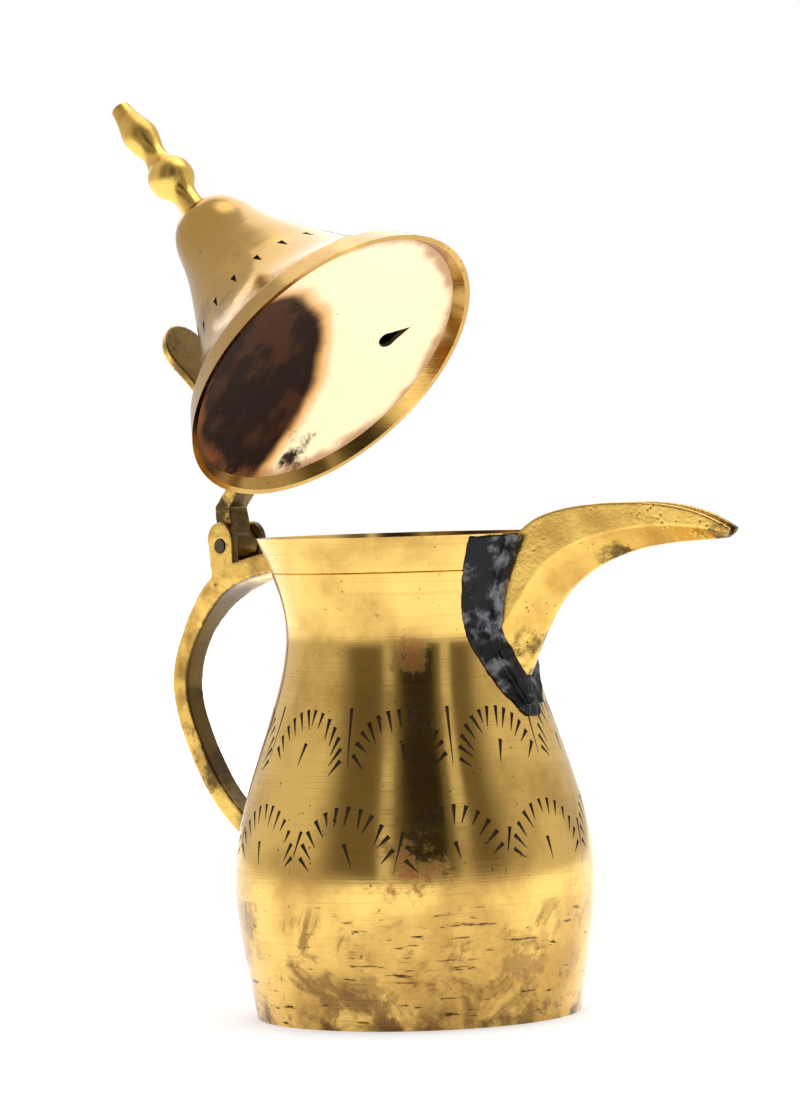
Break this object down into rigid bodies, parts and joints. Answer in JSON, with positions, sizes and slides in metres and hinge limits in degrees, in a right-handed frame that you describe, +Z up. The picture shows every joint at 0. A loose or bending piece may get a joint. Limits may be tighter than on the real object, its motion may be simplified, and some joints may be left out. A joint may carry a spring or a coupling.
{
  "type": "dallah coffee pot",
  "caption": "Small brass dallah coffee pot with a waisted body, open beak spout, strap handle and a hinged bell lid with a finial and thumb leaf.",
  "frame": {"origin": "centre of the flat base, on the surface the pot stands on", "axes": "+Z up the pot's axis; the handle and the hinge lie towards -X, the spout towards +X"},
  "size_m": [0.1522, 0.0722, 0.1877],
  "materials": {
    "spun_brass": "spun and turned, worn and tarnished",
    "cast_brass": "sand cast, filed, with pits",
    "lead_solder": "dull grey soft solder",
    "steel_pin": "dark worn steel"
  },
  "bodies": {
    "pot": {"upper_shell": "spun_brass", "lower_bowl": "spun_brass", "base_disc": "spun_brass", "belly_solder": "lead_solder", "base_solder": "lead_solder", "spout": "cast_brass", "spout_solder": "lead_solder", "handle": "cast_brass", "handle_top_solder": "lead_solder", "handle_foot_solder": "lead_solder", "hinge_pin": "steel_pin"},
    "lid": {"lid_bell": "spun_brass", "lid_liner": "spun_brass", "finial": "cast_brass", "lid_strap": "cast_brass", "strap_solder": "lead_solder"}
  },
  "joints": [
    {"name": "lid_hinge", "type": "hinge", "parent": "pot", "child": "lid", "pos_m": [-0.0475, 0, 0.094], "axis": [0, -1, 0], "range_deg": [-46.8, 56.5]}
  ]
}
